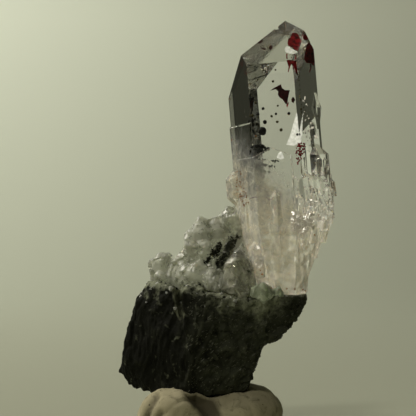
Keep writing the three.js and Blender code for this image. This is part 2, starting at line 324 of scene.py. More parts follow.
flecked = add_node(tree, "Mix", {0: fleck_share, 6: painted_ridge_highlight, 7: linear("#55573f")}, data_type="RGBA")
vein_edge = add_node(tree, "Math", {0: vein.outputs["Fac"], 1: patches}, operation="MULTIPLY")
veined = stained(tree, flecked, vein_edge, 0.15, 0.5, 0.0, 0.6, "#8e9179")
dust = add_node(tree, "Attribute", attribute_name="dust")
dust_edge = add_node(tree, "Math", {0: dust.outputs["Fac"], 1: grain}, operation="MULTIPLY")
colour = stained(tree, veined, dust_edge, 0.12, 0.5, 0.0, 0.85, "#9da18a")
shine = add_node(tree, "MapRange", {
    "Value": grain, "From Min": 0.35, "From Max": 0.65, "To Min": 0.9, "To Max": 0.6,
})
bump = add_node(tree, "Bump", {"Height": grain, "Strength": 0.6, "Distance": 0.2 * MM})
feed(tree, shader, {"Base Color": colour, "Roughness": shine, "Normal": bump, "Specular IOR Level": 0.12})
matrix.data.materials.append(rock_material)
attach(matrix, "root")
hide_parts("matrix")


# Mica
# Small bright scales of mica that lie on the broken right side of the rock, roughly along its layers.
# They grew in the rock and glitter where they face the light.

MICA_COUNT = 2400
MICA_RADIUS = (0.04, 0.15)  # millimetres
MICA_TILT = 0.4  # how far a scale may lean out of the surface
MICA_LEFT = SPLIT_X - 2 * MM
MICA_LOW = 9.5 * MM  # clear of the putty

chance = random.Random(11)


def spin_towards(axis, turn):
    """A rotation that takes +Z to an axis, after a turn about it."""
    return Vector((0, 0, 1)).rotation_difference(axis).to_matrix().to_4x4() @ Matrix.Rotation(turn, 4, "Z")


def scattered(template, matrices, piece_name):
    """One piece made of a copy of a template's mesh for each matrix. The template is deleted."""
    corners = np.array([v.co for v in template.data.vertices])
    faces = [np.array(polygon.vertices) for polygon in template.data.polygons]
    places = [corners @ np.array(m.to_3x3()).T + np.array(m.translation) for m in matrices]
    loops = [(face + i * len(corners)).tolist() for i in range(len(places)) for face in faces]
    mesh = bpy.data.meshes.new(piece_name)
    mesh.from_pydata(np.concatenate(places).tolist(), [], loops)
    bpy.data.objects.remove(template)
    return add_piece(piece_name, mesh)


def mottled_material(name, first, second, spot, detail, values, low=0.0, high=1.0):
    """A material that drifts between two colours in spots of that size in mm, with other values set."""
    material, tree, shader = new_material(name)
    place = add_node(tree, "TexCoord").outputs["Object"]
    mottle = add_node(tree, "TexNoise", {"Vector": place, "Scale": per_metre(spot), "Detail": detail})
    spread = add_node(tree, "MapRange", {"Value": mottle, "From Min": low, "From Max": high})
    colour = add_node(tree, "Mix", {0: spread, 6: linear(first), 7: linear(second)}, data_type="RGBA")
    feed(tree, shader, {"Base Color": colour, **values})
    return material


def close_edit():
    """Turns all faces outwards, leaves edit mode and returns the piece."""
    bpy.ops.mesh.select_all(action="SELECT")
    bpy.ops.mesh.normals_make_consistent(inside=False)
    bpy.ops.object.mode_set(mode="OBJECT")
    return bpy.context.object


def model_scale():
    """A six-sided scale of mica, 1 in radius, thin, and drawn in towards its upper face."""
    bpy.ops.object.select_all(action="DESELECT")
    bpy.ops.mesh.primitive_circle_add(vertices=6, radius=1, fill_type="NGON")
    bpy.ops.object.mode_set(mode="EDIT")
    bpy.ops.mesh.extrude_region_move(TRANSFORM_OT_translate={"value": (0, 0, 0.25)})
    bpy.ops.transform.resize(value=(0.85, 0.7, 1))
    return close_edit()


mica_faces = [p for p in matrix.data.polygons if p.center.x > MICA_LEFT and p.center.z > MICA_LOW]
mica_places = []
for polygon in chance.sample(mica_faces, MICA_COUNT):
    lean = Vector([chance.uniform(-MICA_TILT, MICA_TILT) for i in range(3)])
    upward = (polygon.normal + lean).normalized()
    sideways = upward.cross(FOLIATION.cross(polygon.normal)).normalized()
    turned = Matrix((sideways.cross(upward), sideways, upward)).transposed().to_4x4()
    radius = chance.uniform(*MICA_RADIUS) * MM
    shape = Matrix.Diagonal((radius * chance.uniform(1.4, 3.0), radius * 0.7, radius * 0.8, 1))
    mica_places.append(Matrix.Translation(polygon.center) @ turned @ shape)
mica = scattered(model_scale(), mica_places, "mica_scales")

# Muscovite mica: smooth cleavage faces with a pearly grey-green shine.
mica_material = mottled_material(
    "pearly mica", "#26271e", "#6a6c5b", 1.2, 2.0, {"Roughness": 0.32, "IOR": 1.5}
)
mica.data.materials.append(mica_material)
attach(mica, "root")


# Clear point
# The main quartz crystal and the smaller ones that grew along it, joined by growth. The upper part is
# clear as glass, and the root is cloudy, ridged and rippled, with a trace of amethyst colour.

QUARTZ_IOR = 1.544
POINT_FOOT = Vector((14.2, 0.0, 27.0)) * MM
POINT_LEAN = math.radians(-4.9)
POINT_TWIST = math.radians(-4.4)
growth_frame = (
    Matrix.Translation(POINT_FOOT)
    @ Matrix.Rotation(POINT_LEAN, 4, "Y")
    @ Matrix.Rotation(POINT_TWIST, 4, "Z")
)
point_axis = growth_frame.to_3x3() @ Vector((0, 0, 1))
SLIM_SHOULDER = 1.27  # height of a slim point's tip over its shoulder, its sides being 1 from its axis
SLIM_FOOT = 10.0
# Groups of slim points on the root: how many, range of azimuths, of tip heights, of half widths and
# of lengths in millimetres, how far each stands in, and how far each leans
RIDGES = [
    (40, (284, 375), (9.5, 20.0), (0.4, 0.95), (3.5, 7.0), 0.5, 0.08),
    (9, (312, 345), (21.5, 29.5), (0.35, 0.7), (3.0, 6.5), 0.6, 0.04),
    (3, (246, 264), (11.0, 17.0), (0.5, 0.9), (13.0, 18.0), 0.95, 0.0),
    (6, (165, 225), (5.0, 17.0), (0.5, 1.0), (3.0, 7.0), 0.7, 0.02),
    (26, (20, 165), (4.0, 20.0), (0.4, 1.1), (3.0, 8.0), 0.6, 0.06),
]
RIDGE_RISE = 0.6  # share of a slim point that rises past the place where it is set
TIP_RISE = 38.2  # slope of the front face of the tip, in degrees
# Outlines of a step in the back left edge and a chip in the ridge beside the tip, from one height to
# another, in millimetres in the growth frame
BACK_STEP = ([(-2.2, 7.9), (-5.5, 2.2), (-12, 2.2), (-12, 7.9)], 12, 46)
TIP_CHIP = ([(1.2, -9), (1.75, -9), (1.75, 9), (1.2, 9)], 44.6, 49)
RUST_MIDDLE = Vector((5.4, -3.0, 44.5)) * MM
RUST_REACH = Vector((1.9, 5.0, 4.2)) * MM
ROOT_TOP = 51.5 * MM  # the ripples end here
ROOT_STEP = 0.42 * MM  # spacing of the cuts that let the root take ripples


def keep_flat_faces(piece):
    """Joins the triangles of each flat crystal face into one face."""
    bpy.context.view_layer.objects.active = piece
    bpy.ops.object.mode_set(mode="EDIT")
    bpy.ops.mesh.select_all(action="SELECT")
    bpy.ops.mesh.dissolve_limited(angle_limit=math.radians(0.4))
    bpy.ops.object.mode_set(mode="OBJECT")


def model_slim_point():
    """A slim quartz point: sides 1 from its axis, its tip at the origin and its foot below."""
    bpy.ops.object.select_all(action="DESELECT")
    bpy.ops.mesh.primitive_circle_add(vertices=6, radius=1 / math.cos(math.pi / 6), fill_type="NGON")
    bpy.ops.object.mode_set(mode="EDIT")
    bpy.ops.transform.translate(value=(0, 0, -SLIM_FOOT))
    bpy.ops.mesh.extrude_region_move(TRANSFORM_OT_translate={"value": (0, 0, SLIM_FOOT - SLIM_SHOULDER)})
    bpy.ops.mesh.extrude_region_move(TRANSFORM_OT_translate={"value": (0, 0, SLIM_SHOULDER)})
    bpy.ops.mesh.merge(type="CENTER")
    return close_edit()


def grown_copy(tip, axis, side, length):
    """A copy of the slim point with its own mesh, uneven shoulders and a tip that is off its axis."""
    mesh = slim_point.data.copy()
    for vertex in mesh.vertices:
        if vertex.co.z < -SLIM_FOOT / 2:
            vertex.co.z = -length / side
        elif vertex.co.z < -SLIM_SHOULDER / 2:
            vertex.co.z += chance.uniform(-0.45, 0.25)
        else:
            vertex.co.x += chance.uniform(-0.35, 0.35)
            vertex.co.y += chance.uniform(-0.35, 0.35)
    turned = spin_towards(axis, chance.uniform(0, math.pi / 3))
    mesh.transform(Matrix.Translation(tip) @ turned @ Matrix.Scale(side, 4))
    return add_piece("grown_point", mesh)


def join_pieces(pieces):
    """Joins pieces into the first of them."""
    bpy.ops.object.select_all(action="DESELECT")
    for piece in pieces:
        piece.select_set(True)
    bpy.context.view_layer.objects.active = pieces[0]
    bpy.ops.object.join()
    return pieces[0]


def combine(piece, other, operation):
    """Joins another piece to a piece or cuts it out, and deletes the other."""
    apply_modifier(piece, "BOOLEAN", object=other, operation=operation, solver="EXACT", use_self=True)
    bpy.data.objects.remove(other)


def model_block(outline, low, high):
    """A block in the growth frame with an outline of u and v, from one height to another, in mm."""
    corners = [(u, v, low) for u, v in outline]
    mesh = bpy.data.meshes.new("block")
    mesh.from_pydata(corners, [], [list(range(len(corners)))])
    block = add_piece("block", mesh)
    bpy.ops.object.mode_set(mode="EDIT")
    bpy.ops.mesh.select_all(action="SELECT")
    bpy.ops.mesh.extrude_region_move(TRANSFORM_OT_translate={"value": (0, 0, high - low)})
    close_edit()
    mesh.transform(growth_frame @ Matrix.Scale(MM, 4))
    return block


def cut_grid(piece, top, step):
    """Cuts the part of a piece below a height by planes a step apart, so that it can take relief."""
    low = [min(v.co[i] for v in piece.data.vertices) for i in range(3)]
    high = [max(v.co[i] for v in piece.data.vertices) for i in range(3)]
    pick(piece)
    bpy.ops.object.mode_set(mode="EDIT")
    bpy.ops.mesh.select_all(action="SELECT")
    bpy.ops.mesh.bisect(plane_co=(0, 0, top), plane_no=(0, 0, 1))
    bpy.ops.object.mode_set(mode="OBJECT")
    for polygon in piece.data.polygons:
        polygon.select = polygon.center.z > top
    bpy.ops.object.mode_set(mode="EDIT")
    bpy.ops.mesh.select_mode(type="FACE")
    bpy.ops.mesh.hide()
    for axis, upper in ((0, high[0]), (1, high[1]), (2, top)):
        square = [float(axis == i) for i in range(3)]
        for i in range(1, int((upper - low[axis]) / step)):
            middle = [low[axis] + i * step if axis == j else 0.0 for j in range(3)]
            bpy.ops.mesh.select_all(action="SELECT")
            bpy.ops.mesh.bisect(plane_co=middle, plane_no=square)
    bpy.ops.mesh.reveal()
    bpy.ops.object.mode_set(mode="OBJECT")


def root_relief(place, normal):
    fade = min(1.0, max(0.0, (ROOT_TOP - 0.8 * MM - place.z) / (5 * MM)))
    if fade == 0.0:
        return 0.0
    at = growth_frame.inverted() @ place / MM
    striae = noise.noise(Vector((at.x / 0.55, at.y / 0.55, at.z / 6.0)))
    ripples = noise.noise(Vector((at.x / 1.6, at.y / 1.6, at.z / 0.5)))
    lumps = noise.fractal(at / 2.4, 0.9, 2.2, 4)
    low = min(1.0, max(0.0, (13.0 - at.z) / 7.0))
    right = min(1.0, max(0.0, (at.x - 0.5) / 2.0))
    laths = Vector((at.x + 9.1, at.y, 0.14 * at.z))
    flakes = 0.45 * faceted(laths, 0.75, 0.6) * right + 0.16 * faceted(at, 1.4, 0.6) * low * low
    return fade * MM * (0.014 * striae + 0.02 * ripples * low + 0.08 * lumps * low * low + flakes)


slim_point = model_slim_point()
point = copy_of_node("amethyst_crystal", "amethyst_point")
keep_flat_faces(point)
grown = []
for count, azimuths, tips, sides, lengths, stands_in, lean in RIDGES:
    for i in range(count):
        turn = math.radians(chance.uniform(*azimuths))
        side = chance.uniform(*sides)
        height = chance.uniform(*tips)
        length = chance.uniform(*lengths)
        outward = Vector((math.cos(turn), math.sin(turn), 0))
        foot_height = height - RIDGE_RISE * length
        start = growth_frame @ ((outward * 40 + Vector((0, 0, foot_height))) * MM)
        hit, at, normal, face = point.ray_cast(start, growth_frame.to_3x3() @ -outward)
        if not hit:
            continue
        axis = point_axis - normal * point_axis.dot(normal)
        axis = (axis + Vector([chance.uniform(-lean, lean) for j in range(3)])).normalized()
        tip = at - normal * (side * stands_in * MM) + axis * (RIDGE_RISE * length * MM)
        grown.append(grown_copy(tip, axis, side * MM, length * MM))
combine(point, join_pieces(grown), "UNION")
combine(point, model_block(*BACK_STEP), "DIFFERENCE")
combine(point, model_block(*TIP_CHIP), "DIFFERENCE")
cut_grid(point, ROOT_TOP, ROOT_STEP)
raise_surface(point, root_relief)
shade_faces(point, 9)
for polygon in point.data.polygons:
    polygon.use_smooth = polygon.center.z < ROOT_TOP
tip_slope = math.radians(TIP_RISE)
front_tip = growth_frame.to_3x3() @ Vector((0, -math.cos(tip_slope), math.sin(tip_slope)))
striated = point.data.attributes.new("striated", "FLOAT", "FACE")
striated.data.foreach_set(
    "value",
    [float(p.normal.dot(front_tip) > 0.999 and p.center.z > ROOT_TOP) for p in point.data.polygons],
)

# Rock crystal: clear, glossy faces with fine growth lines at the tip, and a milky root that blurs what
# is behind it and has rust in the cracks on its left.
quartz_material, tree, shader = new_material("clear quartz with a milky root")
place = add_node(tree, "TexCoord").outputs["Object"]
axes = add_node(tree, "SeparateXYZ", {"Vector": place})
lines = add_node(tree, "Attribute", attribute_name="striated")
drift = add_node(tree, "TexNoise", {"Vector": place, "Scale": per_metre(3.5), "Detail": 3.0})
clouds = add_node(tree, "TexNoise", {
    "Vector": place, "Scale": per_metre(1.6), "Detail": 7.0, "Roughness": 0.7,
})
right = add_node(tree, "MapRange", {
    "Value": axes.outputs["X"], "From Min": 5 * MM, "From Max": 17 * MM, "To Min": -3 * MM,
    "To Max": 8 * MM,
})
height = add_node(tree, "Math", {0: axes.outputs["Z"], 1: right}, operation="ADD")
level = add_node(tree, "Math", {0: drift, 1: 5 * MM, 2: height}, operation="MULTIPLY_ADD")
milky = add_node(tree, "MapRange", {
    "Value": level, "From Min": 46 * MM, "From Max": 55 * MM, "To Min": 1.0, "To Max": 0.0,
}, interpolation_type="SMOOTHSTEP")
haze = add_node(tree, "MapRange", {
    "Value": clouds, "From Min": 0.34, "From Max": 0.66, "To Min": 0.3, "To Max": 1.0,
})
cloud = add_node(tree, "Math", {0: milky, 1: haze}, operation="MULTIPLY")
long_place = add_node(tree, "Mapping", {"Vector": place, "Scale": (1.0, 1.0, 0.03)})
growth_lines = add_node(tree, "TexNoise", {"Vector": long_place, "Scale": per_metre(0.3), "Detail": 3.0})
line_strength = add_node(tree, "Math", {0: lines.outputs["Fac"], 1: 0.22}, operation="MULTIPLY")
bump = add_node(tree, "Bump", {"Height": growth_lines, "Strength": line_strength, "Distance": 0.15 * MM})
blur = add_node(tree, "MapRange", {"Value": cloud, "To Min": 0.0, "To Max": 0.2})
line_blur = add_node(tree, "Math", {0: lines.outputs["Fac"], 1: 0.09, 2: blur}, operation="MULTIPLY_ADD")
rust_from = add_node(tree, "VectorMath", {0: place, 1: RUST_MIDDLE}, operation="SUBTRACT")
rust_scaled = add_node(tree, "VectorMath", {0: rust_from, 1: RUST_REACH}, operation="DIVIDE")
rust_reach = add_node(tree, "VectorMath", {0: rust_scaled}, operation="LENGTH")
rust_near = add_node(tree, "MapRange", {
    "Value": rust_reach, "From Min": 0.3, "From Max": 1.0, "To Min": 1.0, "To Max": 0.0,
})
rust_spots = add_node(tree, "TexNoise", {
    "Vector": place, "Scale": per_metre(0.9), "Detail": 5.0, "Roughness": 0.75,
})
rust_share = add_node(tree, "MapRange", {"Value": rust_spots, "From Min": 0.5, "From Max": 0.62})
rust = add_node(tree, "Math", {0: rust_near, 1: rust_share}, operation="MULTIPLY")
bends = add_node(tree, "TexNoise", {"Vector": place, "Scale": per_metre(1.8), "Detail": 2.0})
bent = add_node(tree, "VectorMath", {
    0: bends.outputs["Color"], 1: (1.8 * MM, 1.8 * MM, 1.8 * MM), 2: place,
}, operation="MULTIPLY_ADD")
cracks = add_node(tree, "TexVoronoi", {
    "Vector": bent, "Scale": per_metre(2.3),
}, feature="DISTANCE_TO_EDGE")
crack_line = add_node(tree, "MapRange", {
    "Value": cracks, "From Min": 0.01, "From Max": 0.05, "To Min": 1.0, "To Max": 0.0,
})
crack_here = add_node(tree, "MapRange", {"Value": clouds, "From Min": 0.44, "From Max": 0.58})
crack_share = add_node(tree, "Math", {0: crack_line, 1: crack_here}, operation="MULTIPLY")
crack = add_node(tree, "Math", {0: crack_share, 1: milky}, operation="MULTIPLY")
milk = add_node(tree, "Mix", {0: cloud, 6: linear("#ffffff"), 7: linear("#f6ecd9")}, data_type="RGBA")
tint = add_node(tree, "Mix", {0: rust, 6: milk, 7: linear("#8a6f3f")}, data_type="RGBA")
clear = add_node(tree, "MapRange", {"Value": cloud, "To Min": 1.0, "To Max": 0.35})
cracked_clear = add_node(tree, "Math", {0: crack, 1: -0.35, 2: clear}, operation="MULTIPLY_ADD")
rusty_clear = add_node(tree, "Math", {
    0: rust, 1: -0.5, 2: cracked_clear,
}, operation="MULTIPLY_ADD", use_clamp=True)
feed(tree, shader, {
    "Base Color": tint, "Roughness": line_blur, "Transmission Weight": rusty_clear, "Normal": bump,
    "IOR": QUARTZ_IOR, "Subsurface Weight": 1.0, "Subsurface Radius": (1.0, 0.95, 0.9),
    "Subsurface Scale": 0.9 * MM, "Coat Weight": 0.5, "Coat Roughness": 0.02,
})
point.data.materials.append(quartz_material)
point.visible_shadow = False
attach(point, "root")
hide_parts("amethyst_crystal")


# Flakes in the crystal
# Thin scales of red iron oxide that the growing point closed in, most of them just under its right
# side, with dark ones near the tip, and pale veils where cracks healed, whose near-white colour is a
# painted reflection of the light those cracks throw back.

EYE = Vector((-0.175, -202.2, 40.6)) * MM
FLAKE_DEPTH = 0.4  # how far below its face a flake lies, in millimetres
FLAKE_THICK = 0.05 * MM
FRONT = (270, 0, 6.7)  # faces as azimuth, rise in degrees and distance from the point's foot in mm
FRONT_TIP = (270, TIP_RISE, 29.0)
RIGHT = (330, 0, 6.6)
SLANT = (225, 25, 12.3)  # two healed cracks that cross the point
TIP_SLANT = (250, 45, 31.2)
# Outlines as x and z in millimetres, seen from the front
RED_FLAKES = [
    (FRONT_TIP, [
        (13.76, 69.39), (13.86, 70.07), (14.24, 70.3), (14.38, 70.66), (14.47, 71.0), (14.81, 71.14),
        (15.22, 71.1), (15.63, 70.84), (15.8, 70.42), (15.99, 69.97), (15.98, 69.37), (15.77, 68.77),
        (15.49, 68.18), (15.22, 68.07), (14.77, 68.39), (14.24, 68.7), (13.82, 68.91),
    ]),
    (FRONT_TIP, [(13.51, 67.48), (13.74, 67.48), (13.77, 66.53), (13.54, 66.57)]),
    (FRONT_TIP, [(14.87, 67.44), (15.26, 67.34), (15.29, 66.61), (14.98, 66.61)]),
    (FRONT, [
        (13.56, 66.39), (14.09, 66.47), (14.61, 66.33), (15.33, 66.47), (15.26, 65.91), (15.43, 65.01),
        (15.45, 64.22), (15.24, 64.08), (15.05, 64.92), (14.94, 65.45), (14.81, 64.82), (14.67, 64.75),
        (14.59, 65.52), (14.38, 65.73), (14.17, 65.2), (13.95, 64.4), (13.79, 64.36), (13.93, 65.27),
        (13.76, 65.83),
    ]),
    (RIGHT, [
        (16.21, 70.42), (16.38, 70.94), (16.56, 71.19), (16.77, 70.77), (17.01, 70.63), (17.26, 70.03),
        (16.83, 69.93), (16.42, 70.0),
    ]),
    (RIGHT, [
        (17.43, 65.73), (17.67, 65.8), (17.71, 65.1), (17.46, 64.29), (17.29, 64.4), (17.5, 65.1),
    ]),
    (RIGHT, [
        (16.87, 69.12), (17.18, 69.58), (17.43, 69.33), (17.78, 68.95), (18.06, 68.25), (18.2, 67.2),
        (18.27, 66.15), (18.09, 65.38), (17.57, 65.87), (16.8, 65.97), (16.42, 66.57), (16.56, 67.79),
    ]),
    (FRONT, [(13.82, 59.2), (13.97, 59.0), (13.88, 58.64), (13.65, 58.12), (13.54, 58.55)]),
]
DARK_FLAKES = [
    (FRONT, [
        (10.64, 61.09), (11.38, 61.6), (12.14, 62.02), (12.62, 62.23), (12.71, 61.81), (12.84, 61.53),
        (13.37, 61.21), (14.14, 61.21), (13.97, 60.43), (13.82, 59.74), (13.76, 59.22), (13.6, 58.7),
        (13.37, 58.83), (12.9, 59.57), (12.36, 59.92), (12.04, 60.41), (12.13, 60.97), (11.67, 61.37),
    ]),
    (FRONT, [
        (14.38, 59.6), (14.67, 60.06), (14.87, 59.92), (15.08, 59.53), (14.77, 58.94), (14.46, 59.15),
    ]),
    (FRONT_TIP, [
        (8.57, 69.27), (8.82, 69.68), (9.34, 69.93), (9.48, 69.65), (9.13, 69.33), (8.75, 69.16),
    ]),
    (FRONT_TIP, [(8.92, 68.88), (9.27, 68.53), (9.97, 68.32), (9.91, 68.11), (9.24, 68.28)]),
    (FRONT_TIP, [(10.47, 68.39), (10.61, 68.84), (10.96, 68.95), (11.09, 68.49), (10.82, 68.04)]),
]
# Pale veils: near-white sheets where healed cracks shine, a painted reflection of light.
PAINTED_REFLECTION_VEILS = [
    (TIP_SLANT, [
        (13.27, 68.04), (13.41, 68.46), (13.65, 68.74), (14.07, 68.56), (14.42, 68.36), (14.94, 68.18),
        (15.43, 68.0), (15.51, 67.76), (15.08, 67.58), (14.67, 67.5), (14.0, 67.57), (13.46, 67.71),
    ]),
    (SLANT, [
        (15.33, 57.22), (15.86, 55.3), (16.36, 53.11), (15.99, 51.97), (14.87, 51.45), (13.54, 51.62),
        (14.26, 53.38),
    ]),
    (SLANT, [
        (11.87, 49.35), (12.14, 50.05), (12.6, 50.51), (12.92, 50.05), (13.19, 49.24), (12.6, 49.0),
    ]),
]


def seen_on(face, depth, x, z):
    """Where the sight line through x, z beside the putty's middle meets a face, or a depth below it."""
    azimuth, rise, distance = face
    turn = math.radians(azimuth)
    level = math.cos(math.radians(rise))
    normal = Vector((math.cos(turn) * level, math.sin(turn) * level, math.sin(math.radians(rise))))
    middle = growth_frame @ (normal * ((distance - depth) * MM))
    normal = growth_frame.to_3x3() @ normal
    sight = Vector((x, 0, z)) * MM - EYE
    return EYE + sight * ((middle - EYE).dot(normal) / sight.dot(normal))


def model_flakes(flakes, piece_name):
    """Thin flat flakes below crystal faces, in one piece, each pulled up from its outline."""
    corners = []
    faces = []
    for face, outline in flakes:
        faces.append(list(range(len(corners), len(corners) + len(outline))))
        corners += [seen_on(face, FLAKE_DEPTH, x, z) for x, z in outline]
    mesh = bpy.data.meshes.new(piece_name)
    mesh.from_pydata(corners, [], faces)
    piece = add_piece(piece_name, mesh)
    apply_modifier(piece, "SOLIDIFY", thickness=FLAKE_THICK, offset=0.0)
    bpy.ops.object.mode_set(mode="EDIT")
    return close_edit()


red_flakes = model_flakes(RED_FLAKES, "red_flakes")
dark_flakes = model_flakes(DARK_FLAKES, "dark_flakes")
painted_reflection_veils = model_flakes(PAINTED_REFLECTION_VEILS, "painted_reflection_veils")

# Flakes: hematite thin enough to let red light through, thicker dark ones, and near-white veils in cracks
# that are painted reflections.
FLAKE_FINISHES = [
    (red_flakes, "thin red hematite", "#2a0203", "#8f0f14", 0.35, 0.2),
    (dark_flakes, "dark hematite", "#1a0506", "#3d0d10", 0.4, 0.0),
    (painted_reflection_veils, "healed crack with a painted reflection", "#d2d6cc", "#fbfdf8", 0.4, 0.15),
]
for piece, finish, deep, bright, rough, clear_share in FLAKE_FINISHES:
    values = {"Roughness": rough, "Specular IOR Level": 0.1, "Transmission Weight": clear_share}
    flake_material = mottled_material(finish, deep, bright, 0.6, 4.0, values, 0.35, 0.65)
    piece.data.materials.append(flake_material)
    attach(piece, "root")


# Grains in the crystal
# Round black and olive grains of chlorite scattered through the clear part, a ragged black mass of
# them where the clear part begins, and specks of red iron oxide. The point grew round them.

BLACK_GRAINS = [
    (9.48, 57.96, 0.28), (8.56, 56.96, 0.32), (11.72, 57.05, 0.23), (13.98, 57.1, 0.28),
    (9.8, 55.6, 0.38), (9.4, 54.02, 0.76), (8.89, 53.93, 0.32), (7.45, 55.65, 0.49),
    (7.65, 59.78, 0.26), (15.47, 53.44, 0.23),
]
OLIVE_GRAINS = [
    (10.96, 56.63, 0.23), (11.95, 55.65, 0.26), (12.62, 54.25, 0.3), (12.04, 58.47, 0.19),
    (11.2, 62.72, 0.22), (11.64, 64.72, 0.16), (9.52, 64.63, 0.19), (8.21, 58.97, 0.23),
    (7.65, 56.77, 0.26), (16.1, 57.92, 0.22),
]
BLACK_MASS = [
    (7.0, 51.45), (7.7, 51.34), (8.4, 51.66), (9.1, 51.73), (9.8, 51.38), (10.78, 51.13),
    (10.32, 50.64), (9.62, 50.22), (8.92, 49.77), (8.22, 49.24), (7.52, 49.35), (7.07, 50.05),
    (7.25, 50.75),
]
MASS_SHARDS = 190
RED_SPECKS = [(15.2, 52.0), (16.9, 52.0), (16.8, 50.4), (16.1, 49.2), (15.4, 48.1), (15.2, 50.8)]
RED_SPECK_COUNT = 70
EDGE_SEAM = [(15.1, 65.4), (15.6, 65.2), (16.2, 58.0), (16.9, 53.2), (16.3, 53.2), (15.7, 58.0)]
EDGE_SEAM_COUNT = 46
RIGHT_SPECKS = [(16.2, 58.8), (18.8, 58.6), (19.4, 55.0), (18.6, 51.6), (17.2, 51.4), (16.6, 54.4)]
RIGHT_SPECK_COUNT = 60
DASHES = [(9.3, 49.0), (11.5, 48.8), (9.6, 48.1), (11.0, 47.9), (8.6, 47.2), (10.3, 47.0), (9.3, 46.5)]


def model_grain(jitter, rounds):
    """A small rough grain, 1 in radius, rounder with more rounds of division."""
    bpy.ops.object.select_all(action="DESELECT")
    bpy.ops.mesh.primitive_ico_sphere_add(subdivisions=rounds, radius=1)
    bpy.ops.object.mode_set(mode="EDIT")
    bpy.ops.mesh.select_all(action="SELECT")
    bpy.ops.transform.vertex_random(offset=jitter, seed=3)
    bpy.ops.object.mode_set(mode="OBJECT")
    return bpy.context.object


def drawn_inside(outline):
    """A random place inside an outline."""
    xs = [x for x, z in outline]
    zs = [z for x, z in outline]
    while True:
        x = chance.uniform(min(xs), max(xs))
        z = chance.uniform(min(zs), max(zs))
        crossings = 0
        for (xa, za), (xb, zb) in zip(outline, outline[1:] + outline[:1]):
            if (za > z) != (zb > z) and x < xa + (xb - xa) * (z - za) / (zb - za):
                crossings += 1
        if crossings % 2:
            return x, z


def set_at(place, sizes):
    """A matrix that sets a grain at a place with three half sizes in millimetres, turned at random."""
    turned = spin_towards(Vector([chance.gauss(0, 1) for i in range(3)]).normalized(), chance.uniform(0, 6))
    return Matrix.Translation(place) @ turned @ Matrix.Diagonal((*[s * MM for s in sizes], 1))


black_places = [set_at(seen_on(FRONT, 2.5 * r + 0.4, x, z), (r, r, r * 0.9)) for x, z, r in BLACK_GRAINS]
shard_places = []
for i in range(MASS_SHARDS):
    x, z = drawn_inside(BLACK_MASS)
    size = chance.uniform(0.12, 0.42)
    depth = chance.uniform(0.25, 1.2)
    shard_places.append(set_at(seen_on(FRONT, depth, x, z), (size, size * 0.7, size * 0.3)))
for x, z in DASHES:
    for i in range(5):
        near = (x + chance.uniform(-0.6, 0.6), z + chance.uniform(-0.15, 0.15))
        shard_places.append(set_at(seen_on(FRONT, -0.1, *near), (chance.uniform(0.2, 0.45), 0.14, 0.12)))
olive_places = [set_at(seen_on(FRONT, 1.2, x, z), (r, r * 0.9, r)) for x, z, r in OLIVE_GRAINS]
for i in range(RIGHT_SPECK_COUNT):
    r = chance.uniform(0.04, 0.13)
    olive_places.append(set_at(seen_on(RIGHT, 0.4, *drawn_inside(RIGHT_SPECKS)), (r, r * 0.6, r * 2.2)))
for i in range(EDGE_SEAM_COUNT):
    r = chance.uniform(0.06, 0.2)
    olive_places.append(set_at(seen_on(RIGHT, 0.3, *drawn_inside(EDGE_SEAM)), (r, r * 0.6, r * 1.6)))
red_places = []
for i in range(RED_SPECK_COUNT):
    x, z = drawn_inside(RED_SPECKS)
    size = chance.uniform(0.08, 0.28)
    red_places.append(set_at(seen_on(FRONT, 0.25, x, z), (size, size * 0.5, size)))

# Chlorite and iron oxide grains: dull, dark, a little uneven in colour.
GRAIN_FINISHES = [
    ("black_grains", black_places, 0.1, 2, "black chlorite grains", "#030302", "#0d0d0a"),
    ("black_mass", shard_places, 0.3, 1, "black chlorite shards", "#030302", "#0d0d0a"),
    ("olive_grains", olive_places, 0.1, 2, "olive chlorite grains", "#2a2812", "#4f4a26"),
    ("red_specks", red_places, 0.3, 1, "red iron oxide grains", "#4a0608", "#8f1714"),
]
for piece_name, places, jitter, rounds, finish, deep, bright in GRAIN_FINISHES:
    grains = scattered(model_grain(jitter, rounds), places, piece_name)
    values = {"Roughness": 0.6, "Specular IOR Level": 0.1}
    grain_material = mottled_material(finish, deep, bright, 0.25, 2.0, values)
    grains.data.materials.append(grain_material)
    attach(grains, "root")


# Crust, front point and green point
# Milky quartz points on the shoulder of the rock, one stout point in front of them and a rounded
# greenish one on the rim. They grew in place, and cloudy growth makes them translucent.

MILKY_GRAIN = 0.2 * MM  # spacing of the mesh
# Node, piece and slot, passes of smoothing and swelling in mm, size in mm and tilt of facets, and
# pale and deep colours, share of clearness and roughness
MILKY_PIECES = [
    ("quartz_crust", "crust_of_points", "milky_quartz", (44, 0.32), (2.8, 0.42),
     ("#ecede1", "#c9ccba", 0.5, 0.34)),
    ("front_point", "front_point_milky", "milky_quartz", (10, 0.1), (2.8, 0.42),
     ("#efeee2", "#d3d4c4", 0.75, 0.1)),
    ("green_point", "green_point_cloudy", "green_quartz", (14, 0.12), (1.6, 0.24),
     ("#dde5cf", "#b7c1a6", 0.3, 0.3)),
]
